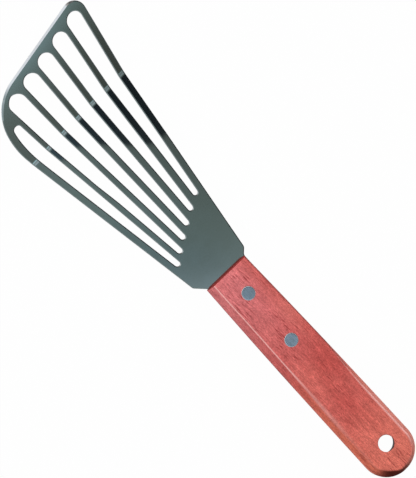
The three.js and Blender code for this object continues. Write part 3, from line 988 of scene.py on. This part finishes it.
def hardwood():
    finish, tree, surface, place = new_finish("red_hardwood")
    x, y, z = parts_of(step(tree, "ShaderNodeMapping", Vector=place, Rotation=grain_slant))
    place_x, place_y = parts_of(place)[:2]

    def layer(per_metre_along, per_metre_across, detail, offset):
        spot = vector_of(tree, x * per_metre_along + offset, y * per_metre_across, z * per_metre_across)
        return step(tree, "ShaderNodeTexNoise", Vector=spot, Scale=1.0, Detail=detail)

    broad = layer(30.0, 110.0, 2.0, 3.1).ramp(*middle_tones, smooth=True)
    cloud = layer(170.0, 380.0, 3.0, 7.4)
    fleck = layer(900.0, 3000.0, 2.0, 11.7)
    fibre = layer(50.0, 1600.0, 2.0, 23.9)
    cluster = layer(45.0, 150.0, 1.0, 41.3).ramp(0.44, 0.60, smooth=True)
    pores = layer(170.0, 2000.0, 1.0, 57.2).ramp(0.58, 0.67, smooth=True) * (cluster * 0.62 + 0.15)
    edge_wear, orange_side, end_grain = [
        step(tree, "ShaderNodeAttribute", {"attribute_name": name}, "Fac") for name in edge_mark_names
    ]
    streak_x = (place_x - streak_centre[0]) / streak_reach[0]
    streak_y = (place_y - streak_centre[1]) / streak_reach[1]
    streak = (streak_x * streak_x + streak_y * streak_y).ramp(0.1, 1.2, 0.5, 0.0, smooth=True)
    # Lighter and pinker towards the front: a painted sheen.
    front_sheen = place_x.ramp(-75 * MM, -20 * MM, 0.0, 0.80) * place_y.ramp(-11 * MM, -1 * MM, 0.25, 1.0)
    at_butt = place_x.ramp(-130 * MM, -98 * MM, 0.85, 0.0)
    colour = blended(tree, broad, dark_wood, light_wood)
    zones = [
        (streak, red_streak),
        (front_sheen, front_sheen_tone),
        (at_butt, butt_wood),
        (orange_side * 0.8, side_wood),
        # End grain with painted shade at the butt, and painted shade alone on the far front edge.
        (end_grain, end_grain_shade_wood),
    ]
    for zone, tone in zones:
        colour = blended(tree, zone, colour, tone)
    shade = fleck.ramp(0.26, 0.74, 0.64, 1.36) * fibre.ramp(*middle_tones, 0.90, 1.10)
    shade = shade * cloud.ramp(*middle_tones, 0.84, 1.16)
    grained = blended(tree, pores, vector_maths("SCALE", colour, shade), pore_colour)
    # A pale line on the upper edges: wear with a painted highlight and sheen.
    pale_edge_share = edge_wear * fleck.ramp(0.35, 0.60, 0.75, 1.0)
    touched = use_group(handling, place, Patches=30.0)
    rough = touched.mask.ramp(0.0, 1.0, 0.40, 0.48) + fibre.ramp(*middle_tones, -0.03, 0.03)
    looks = {
        "Base Color": blended(tree, pale_edge_share, grained, worn_and_highlight_wood),
        "Roughness": rough + pores * 0.15 + end_grain * 0.5,
        "Specular IOR Level": 0.06,
        "Normal": relief(fibre * 0.3 - pores, 0.03 * MM),
    }
    feed_named(surface, looks)
    return finish


handle_wood = hardwood()
print("wood:", handle_wood.name)

# %% [markdown]
# Two cuts show wood that was never sealed. The wall of the hang hole is dark bored wood, darker still as
# painted shade, and the front of the handle is freshly sawn end grain, painted darker as painted shade.
# Both carry the marks of a tool, so the function that made the cut edges of the blade makes these finishes
# too.

# %% Cut wood
# Both sets of tones are darker than the wood alone: painted shade in the hole and on the front face.
bored_and_shaded_tones = ((0.13, 0.030, 0.026), (0.055, 0.014, 0.013))
sawn_and_shaded_tones = ((0.42, 0.060, 0.052), (0.28, 0.036, 0.032))
cut_looks = {
    "lines": (700.0, 900.0),
    "roughness": (0.60, 0.75),
    "depth": 0.03 * MM,
    "Specular_IOR_Level": 0.1,
}
bored_and_shaded_wood = tooled_finish("bored_hardwood", colours=bored_and_shaded_tones, **cut_looks)
sawn_and_shaded_wood = tooled_finish("sawn_hardwood", colours=sawn_and_shaded_tones, **cut_looks)
print("cut wood:", bored_and_shaded_wood.name, sawn_and_shaded_wood.name)

# %% [markdown]
# The handle's outline is drawn once, seen from above. Each long side spreads towards the butt and bulges a
# little, so it is one curve with a single control point. The butt is almost a half circle, with a short flat
# between its two quarters.

# %% Handle outline
front_half_width = 12.75 * MM
middle_half_width = 14.0 * MM
butt_half_width = 14.5 * MM
butt_radius = 0.97 * butt_half_width
butt_flat = butt_half_width - butt_radius
butt_x = butt_radius - handle_length
side_points = 70
butt_points = 40


def curve_point(first, control, last, share):
    rest = 1 - share
    return first * rest * rest + control * 2 * rest * share + last * share * share


def side_point(share):
    control_y = 2 * middle_half_width - (front_half_width + butt_half_width) / 2
    x = curve_point(0.0, butt_x / 2, butt_x, share)
    return x, curve_point(front_half_width, control_y, butt_half_width, share)


def handle_outline():
    """Points from the front, along the rounded corner's side, round the butt and back to the front."""
    side = [side_point(i / side_points) for i in range(side_points)]
    butt = []
    for i in range(butt_points + 1):
        angle = math.pi / 2 + math.pi * i / butt_points
        centre_y = butt_flat if i <= butt_points / 2 else -butt_flat
        butt.append((butt_x + butt_radius * math.cos(angle), centre_y + butt_radius * math.sin(angle)))
    other_side = [(x, -y) for x, y in reversed(side)]
    return [Vector(point) for point in side + butt + other_side]


outline = handle_outline()
print("handle outline points:", len(outline))

# %% [markdown]
# An edge profile is carried round that outline. At the front the upper edges are planed to a crisp bevel.
# Towards the butt they are sanded rounder, so the profile changes along the way, which one Bevel modifier
# could not do. Each point of the profile also carries the three marks for the wood: how pale it is, from
# wear and painted highlight and sheen, how orange it is, and how dark, from end grain and painted shade.

# %% Handle edge profile
bevel_depth = 5.0 * MM
near_bevel = 2.8 * MM
near_bevel_gain = 0.4 * MM
near_bevel_loss = 0.7 * MM
far_bevel = 1.25 * MM
far_bevel_gain = 1.5 * MM
butt_bevel_gain = 1.0 * MM
crisp_upper_edge = 0.62 * MM
sanded_upper_gain = 1.5 * MM
rubbed_upper_gain = 0.7 * MM
crisp_lower_edge = 0.9 * MM
sanded_lower_gain = 0.8 * MM
face_margin = 0.4 * MM
side_change = 6 * MM
pale_line_side_change = 8 * MM
upper_steps = 8
lower_steps = 6
butt_bevel_way = Vector((-0.61, 0.79))
# The next four set the dark mark: end grain with painted shade at the butt's end, and painted shade along the
# far front edge.
dark_end_way = Vector((-0.87, 0.5))
dark_side = 0.35
dark_line = 0.6
dark_line_end = 0.3
# The far rear bevel is painted paler: a painted sheen.
far_rear_sheen = 0.22


def soft_step(low, high, value):
    share = min(1.0, max(0.0, (value - low) / (high - low)))
    return share * share * (3 - 2 * share)


def behind(x, first, last):
    """Rises from 0 to 1 between two distances from the handle's front, in millimetres."""
    return soft_step(-first * MM, -last * MM, x)


def rounded_corner(before, corner, after, radius, steps):
    first = corner + (before - corner).normalized() * radius
    last = corner + (after - corner).normalized() * radius
    return [curve_point(first, corner, last, i / steps) for i in range(steps + 1)]


def edge_wear(x, y):
    """Wear and a painted highlight on the upper edge: most along the near front and the far rear."""
    near_side = soft_step(-pale_line_side_change, pale_line_side_change, y)
    near_line = 1 - 0.58 * behind(x, 56, 72) - 0.30 * behind(x, 85, 108)
    far_line = behind(x, 58, 96)
    past_butt = soft_step(butt_x, butt_x - 11 * MM, x)
    return (far_line + (near_line - far_line) * near_side) * (1 - 0.8 * past_butt)


def edge_profile(x, y, outward):
    """Inset from the outline, height and three marks, from the upper face to the lower face."""
    top = handle_thickness
    near_side = soft_step(-side_change, side_change, y)
    far_side = 1 - near_side
    rounder = behind(x, 50, 90) * (1 - behind(x, 112, 128)) * near_side
    rubbed = behind(x, 72, 100) * far_side
    far_width = far_bevel + far_bevel_gain * behind(x, 52, 88)
    near_width = near_bevel + near_bevel_gain * behind(x, 0, 35) - near_bevel_loss * behind(x, 62, 105)
    width = far_width + (near_width - far_width) * near_side
    width += butt_bevel_gain * soft_step(0.75, 1.0, butt_bevel_way.dot(outward)) * behind(x, 118, 132)
    upper_round = crisp_upper_edge + sanded_upper_gain * rounder + rubbed_upper_gain * rubbed
    lower_round = crisp_lower_edge + sanded_lower_gain * rounder
    # Pale upper edge: wear with a painted highlight line.
    pale_edge_line = edge_wear(x, y)
    orange = behind(x, 56, 95)
    # The far front edge is painted dark: painted shade on the side that faces away from the light.
    dark_edge = far_side * (1 - behind(x, 52, 84))
    # The butt's end is painted dark: end grain with painted shade.
    dark = soft_step(0.64, 1.02, dark_end_way.dot(outward)) + dark_side * dark_edge
    # The far rear bevel is painted paler, as a painted sheen.
    pale = far_rear_sheen * rubbed * (1 - soft_step(butt_x - 6 * MM, butt_x - 12 * MM, x))
    on_face = Vector((width + bevel_depth, top))
    upper = Vector((width, top))
    lower = Vector((0, top - bevel_depth))
    on_side = Vector((0, top / 2))
    points = [(width + upper_round + face_margin, top, 0.0, 0.0, 0.0)]
    for i, spot in enumerate(rounded_corner(on_face, upper, lower, upper_round, upper_steps)):
        share = i / upper_steps
        # Paleness on the rounded edge: wear, painted highlight and painted sheen.
        edge_paleness = max(pale_edge_line * math.sin(math.pi * share) ** 2, pale * share)
        points.append((*spot, edge_paleness, orange * share, (dark + dark_line * dark_edge * share) * share))
    below_edge = upper.lerp(lower, dark_line_end)
    for spot in [below_edge] + rounded_corner(upper, lower, on_side, lower_round, lower_steps):
        points.append((*spot, pale, orange, dark))
    return points + [(inset, top - height, *marks) for inset, height, *marks in reversed(points)]


print("points in one profile:", len(edge_profile(0.0, front_half_width, Vector((0, 1)))))

# %% [markdown]
# The profiles round the outline are joined by faces, and the two flat faces and the front close the block.
# A small Bevel modifier breaks the sharp edges at the front, as a rub with sandpaper would.

# %% Handle block
front_edge_width = 0.28 * MM
front_edge_angle = math.radians(50)


def mesh_of(shape, name):
    mesh = bpy.data.meshes.new(name)
    shape.to_mesh(mesh)
    shape.free()
    return mesh


def handle_mesh():
    shape = bmesh.new()
    layers = [shape.verts.layers.float.new(name) for name in edge_mark_names]
    rows = []
    count = len(outline)
    for i, point in enumerate(outline):
        way = (outline[min(i + 1, count - 1)] - outline[max(i - 1, 0)]).normalized()
        inward = Vector((-way.y, way.x))
        if i in (0, count - 1):
            inward = Vector((0, -math.copysign(1, point.y)))
        row = []
        for inset, height, *marks in edge_profile(point.x, point.y, -inward):
            spot = point + inward * inset
            vertex = shape.verts.new((spot.x + handle_front, spot.y + handle_middle_y, height))
            for layer, mark in zip(layers, marks):
                vertex[layer] = mark
            row.append(vertex)
        rows.append(row)
    for row, following in zip(rows, rows[1:]):
        for j in range(len(row) - 1):
            shape.faces.new((row[j], row[j + 1], following[j + 1], following[j]))
    shape.faces.new([row[0] for row in rows])
    shape.faces.new([row[-1] for row in reversed(rows)])
    shape.faces.new(rows[0] + list(reversed(rows[-1])))
    bmesh.ops.recalc_face_normals(shape, faces=shape.faces)
    return mesh_of(shape, "wooden_handle")


handle = add_object("wooden_handle", handle_mesh())
front_edges = handle.modifiers.new("front_edges", "BEVEL")
front_edges.width = front_edge_width
front_edges.segments = 2
front_edges.limit_method = "ANGLE"
front_edges.angle_limit = front_edge_angle
plain_mesh(handle)
print("handle faces before the cuts:", len(handle.data.polygons))

# %% [markdown]
# The handle is sawn and drilled next. A boolean does the same work, and it needs a closed shape to cut with.
# One helper turns a profile about an upright axis, as a drill turns, and another makes a block for the saw.
# The third cuts a piece and then throws the cutter away.

# %% Cutters
cutter_segments = 96
pole_distance = 0.001 * MM


def turned_mesh(name, profile, centre_x, centre_y):
    """A closed mesh turned about an upright axis; the profile runs from the axis back to the axis."""
    shape = bmesh.new()
    rings = []
    for i in range(cutter_segments):
        angle = 2 * math.pi * i / cutter_segments
        across = [(centre_x + r * math.cos(angle), centre_y + r * math.sin(angle), z) for r, z in profile]
        rings.append([shape.verts.new(spot) for spot in across])
    for i, ring in enumerate(rings):
        following = rings[(i + 1) % cutter_segments]
        for j in range(len(profile) - 1):
            shape.faces.new((ring[j], following[j], following[j + 1], ring[j + 1]))
    bmesh.ops.remove_doubles(shape, verts=shape.verts, dist=pole_distance)
    bmesh.ops.recalc_face_normals(shape, faces=shape.faces)
    return mesh_of(shape, name)


def block_mesh(name, low, high):
    shape = bmesh.new()
    bmesh.ops.create_cube(shape, size=1)
    for vertex in shape.verts:
        vertex.co = Vector([b if c > 0 else a for c, a, b in zip(vertex.co, low, high)])
    return mesh_of(shape, name)


def cut(piece, cutter_mesh):
    cutter = add_object(cutter_mesh.name, cutter_mesh)
    boolean = piece.modifiers.new(cutter_mesh.name, "BOOLEAN")
    boolean.operation = "DIFFERENCE"
    boolean.solver = "EXACT"
    boolean.object = cutter
    plain_mesh(piece)
    bpy.data.objects.remove(cutter)


print("segments of a turned cutter:", cutter_segments)

# %% [markdown]
# A saw kerf takes the tang, and two stepped bores take the rivets. The wide ends of a bore hold the two heads
# of a rivet. Each cutter is a little larger than what goes into it, so that no two pieces touch.

# %% Kerf and rivet bores
bore_clearance = 0.05 * MM
kerf_clearance = 0.04 * MM
end_clearance = 0.3 * MM
cutter_overshoot = 3 * MM
kerf_reach = 50 * MM
rivet_head_radius = (post_high.x - post_low.x) / 2
rivet_head_thickness = 2.2 * MM
rivet_head_sink = handle_thickness - post_high.z
sleeve_radius = 2.5 * MM
kerf_half = sheet_thickness / 2 + kerf_clearance
kerf_low = (handle_front - tang_length - end_clearance, -kerf_reach, mid_height - kerf_half)
kerf_high = (handle_front + cutter_overshoot, kerf_reach, mid_height + kerf_half)
cut(handle, block_mesh("kerf", kerf_low, kerf_high))
recess = rivet_head_thickness + rivet_head_sink + kerf_clearance
head_bore = rivet_head_radius + bore_clearance
shank_bore = sleeve_radius + bore_clearance
under_handle = -cutter_overshoot
over_handle = handle_thickness + cutter_overshoot
stepped_bore = [
    (0, under_handle),
    (head_bore, under_handle),
    (head_bore, recess),
    (shank_bore, recess),
    (shank_bore, handle_thickness - recess),
    (head_bore, handle_thickness - recess),
    (head_bore, over_handle),
    (0, over_handle),
]
for name, x in (("front_bore", front_rivet_x), ("rear_bore", rear_rivet_x)):
    cut(handle, turned_mesh(name, stepped_bore, handle_front + x, axis_y))
print("handle faces with kerf and bores:", len(handle.data.polygons))

# %% [markdown]
# The hang hole leans a little, its rims are eased, and it is opened out from below. A straight cutter would
# not show that, so this one is a turned shape that is tilted. After the cuts each face gets its finish. The
# wall of the hole is dark bored wood with painted shade, the front is freshly sawn wood with painted shade,
# and everything else is sealed wood.

# %% Hang hole and finishes of the handle
hang_hole_radius = 4.3 * MM
hang_hole_opening = 1.5 * MM
hang_hole_ease = 0.3 * MM
hang_hole_x = handle_front + 17.7 * MM - handle_length
hole_lean = Vector((-1.0, -1.0, 0)) * MM / handle_thickness
hole_surround = 3.3 * MM
steep = 0.5
facing_front = 0.95
hole_axis = Vector((hang_hole_x, axis_y))
lower_radius = hang_hole_radius + hang_hole_opening
eased_hole = [
    (0, under_handle),
    (lower_radius + hang_hole_ease + cutter_overshoot, under_handle),
    (lower_radius, hang_hole_ease),
    (hang_hole_radius, handle_thickness - hang_hole_ease),
    (hang_hole_radius + hang_hole_ease + cutter_overshoot, over_handle),
    (0, over_handle),
]
hole_mesh = turned_mesh("hang_hole", eased_hole, hang_hole_x, axis_y)
for vertex in hole_mesh.vertices:
    vertex.co += hole_lean * (handle_thickness - vertex.co.z)
cut(handle, hole_mesh)


def near_hole(place):
    return (place.to_2d() - hole_axis).length < hang_hole_radius + hole_surround


handle.data.materials.clear()
for wood in (handle_wood, bored_and_shaded_wood, sawn_and_shaded_wood):
    handle.data.materials.append(wood)
for face in handle.data.polygons:
    bored = near_hole(face.center) and abs(face.normal.z) < steep
    sawn = face.normal.x > facing_front and face.center.x > handle_front - MM
    face.material_index = 1 if bored else 2 if sawn else 0
edge_marks = [handle.data.attributes[name].data for name in edge_mark_names]
on_flat_face = 0.002 * MM
for vertex, *marks in zip(handle.data.vertices, *edge_marks):
    depth = min(vertex.co.z, handle_thickness - vertex.co.z)
    if depth < on_flat_face or near_hole(vertex.co):
        for mark in marks:
            mark.value = 0.0
finish_normals(handle, sharp_degrees=28)
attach(handle, "root")
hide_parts("wood_handle")

# %% [markdown]
# Each rivet is a solid post pressed into a hollow sleeve, and both heads are ground flush with the wood. The
# steel shows the straight scratches of the belt that ground it. Where the belt has rounded the edge of the
# head, the rim is painted near white and matt, as a painted highlight ring.

# %% Rivet finish
def rivet_steel():
    finish, tree, surface, place = new_finish("ground_rivet")
    grain = use_group(polishing_grain, place, Lines_Along=260.0, Lines_Across=3000.0)
    touched = use_group(handling, place, Patches=160.0)
    blue_steel = (0.69, 0.79, 0.92)
    grey_steel = (0.47, 0.55, 0.65)
    # Near-white rim colour: a painted highlight ring.
    rim_highlight_white = (0.96, 0.98, 1.0)
    speckle = touched.mask * 0.4 + grain.tone.ramp(0.40, 0.60, 0.0, 0.6)
    ground_face = blended(tree, speckle, blue_steel, grey_steel)
    upright = parts_of(step(tree, "ShaderNodeTexCoord", None, "Normal"))[2]
    # The tilted rim of the head gets the painted highlight: white, rougher and less metallic.
    rim = upright.maths("ABSOLUTE").fade(0.85, 0.99)
    looks = {
        "Base Color": blended(tree, rim, ground_face, rim_highlight_white),
        "Roughness": grain.tone.ramp(*middle_tones, 0.20, 0.28) + rim * 0.2,
        "Metallic": rim.ramp(0.0, 1.0, 1.0, 0.25),
        "Normal": relief(grain.height, 0.0006 * MM),
    }
    feed_named(surface, looks)
    return finish


rivet_finish = rivet_steel()
print("rivet finish:", rivet_finish.name)

# %% [markdown]
# All four rivet pieces are turned shapes, so one tree makes them, as one lathe would. It takes a profile,
# lays a grid with a column for each step of the turn, and wraps the grid round an upright axis.

# %% Tree for turned pieces
rounding_guard = 0.0001


def turned_piece_tree():
    wanted = [("Profile", "Geometry"), ("Segments", "Int"), ("Centre X", "Float"), ("Centre Y", "Float")]
    wanted.append(("Finish", "Material"))
    tree, size, leave = new_tree("turned_piece", "GeometryNodeTree", wanted, [("Turned", "Geometry")])
    profile_points = shape_step(tree, "AttributeDomainSize", None, "Point Count", Geometry=size.profile)
    grid = shape_step(tree, "MeshGrid", Vertices_X=size.segments + 1.0, Vertices_Y=profile_points)
    number = shape_step(tree, "InputIndex")
    column = (number / profile_points + rounding_guard).maths("FLOOR")
    sample = {"Value": shape_step(tree, "InputPosition"), "Index": number - column * profile_points}
    spot = shape_step(tree, "SampleIndex", {"data_type": "FLOAT_VECTOR"}, Geometry=size.profile, **sample)
    radius, height = parts_of(spot)[::2]
    angle = column / size.segments * (2 * math.pi)
    x = radius * angle.maths("COSINE") + size.centre_x
    y = radius * angle.maths("SINE") + size.centre_y
    turned = shape_step(tree, "SetPosition", Geometry=grid, Position=vector_of(tree, x, y, height))
    turned = shape_step(tree, "MergeByDistance", Geometry=turned, Distance=pole_distance)
    turned = shape_step(tree, "RealizeInstances", Geometry=turned)
    turned = shape_step(tree, "SetMaterial", Geometry=turned, Material=size.finish)
    feed(leave.inputs["Turned"], turned)
    return tree


turned_piece = turned_piece_tree()
print("nodes in the turning tree:", len(turned_piece.nodes))

# %% [markdown]
# The post's profile runs from its foot up to its head, and the sleeve's from its head up to its mouth. Small
# gaps are left between post, sleeve and wood, in place of the press fits of the real rivet.

# %% Rivets
post_radius = 1.6 * MM
press_clearance = 0.02 * MM
sleeve_floor = rivet_head_sink + 1.4 * MM
post_tip_radius = 0.75 * post_radius
head_rim = 0.3 * MM
rim_steps = 5
rivet_segments = 72
head_top = handle_thickness - rivet_head_sink
head_under = head_top - rivet_head_thickness
sleeve_head_top = rivet_head_sink + rivet_head_thickness
post_foot = sleeve_floor + end_clearance
sleeve_mouth = head_under - end_clearance
sleeve_bore = post_radius + press_clearance


def soft_head(outer, face, way):
    """The rim of a flush head, from its side to its face, a little rounded."""
    points = []
    for i in range(rim_steps + 1):
        angle = math.pi / 2 * i / rim_steps
        inset = head_rim * (1 - math.cos(angle))
        points.append((outer - inset, face - way * head_rim * (1 - math.sin(angle))))
    return points + [(outer - 2 * head_rim, face)]


post_profile = [
    (0, post_foot),
    (post_tip_radius, post_foot),
    (post_radius, post_foot + post_radius - post_tip_radius),
    (post_radius, head_under),
    (rivet_head_radius, head_under),
    *soft_head(rivet_head_radius, head_top, 1),
    (0, head_top),
]
sleeve_profile = [
    (0, rivet_head_sink),
    *reversed(soft_head(rivet_head_radius, rivet_head_sink, -1)),
    (rivet_head_radius, sleeve_head_top),
    (sleeve_radius, sleeve_head_top),
    (sleeve_radius, sleeve_mouth),
    (sleeve_bore, sleeve_mouth),
    (sleeve_bore, sleeve_floor),
    (0, sleeve_floor),
]


def rivet_half(name, node, profile, x):
    line = bpy.data.meshes.new(name)
    line.from_pydata([(r, 0, z) for r, z in profile], [(i, i + 1) for i in range(len(profile) - 1)], [])
    piece = add_object(name, line)
    centre = {"Centre X": handle_front + x, "Centre Y": axis_y}
    run_tree(piece, turned_piece, centre | {"Segments": rivet_segments, "Finish": rivet_finish})
    finish_normals(piece, sharp_degrees=30)
    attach(piece, "root")
    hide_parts(node)


for end, x in (("front", front_rivet_x), ("rear", rear_rivet_x)):
    rivet_half(end + "_post", end + "_rivet_post", post_profile, x)
    rivet_half(end + "_sleeve", end + "_rivet_sleeve", sleeve_profile, x)
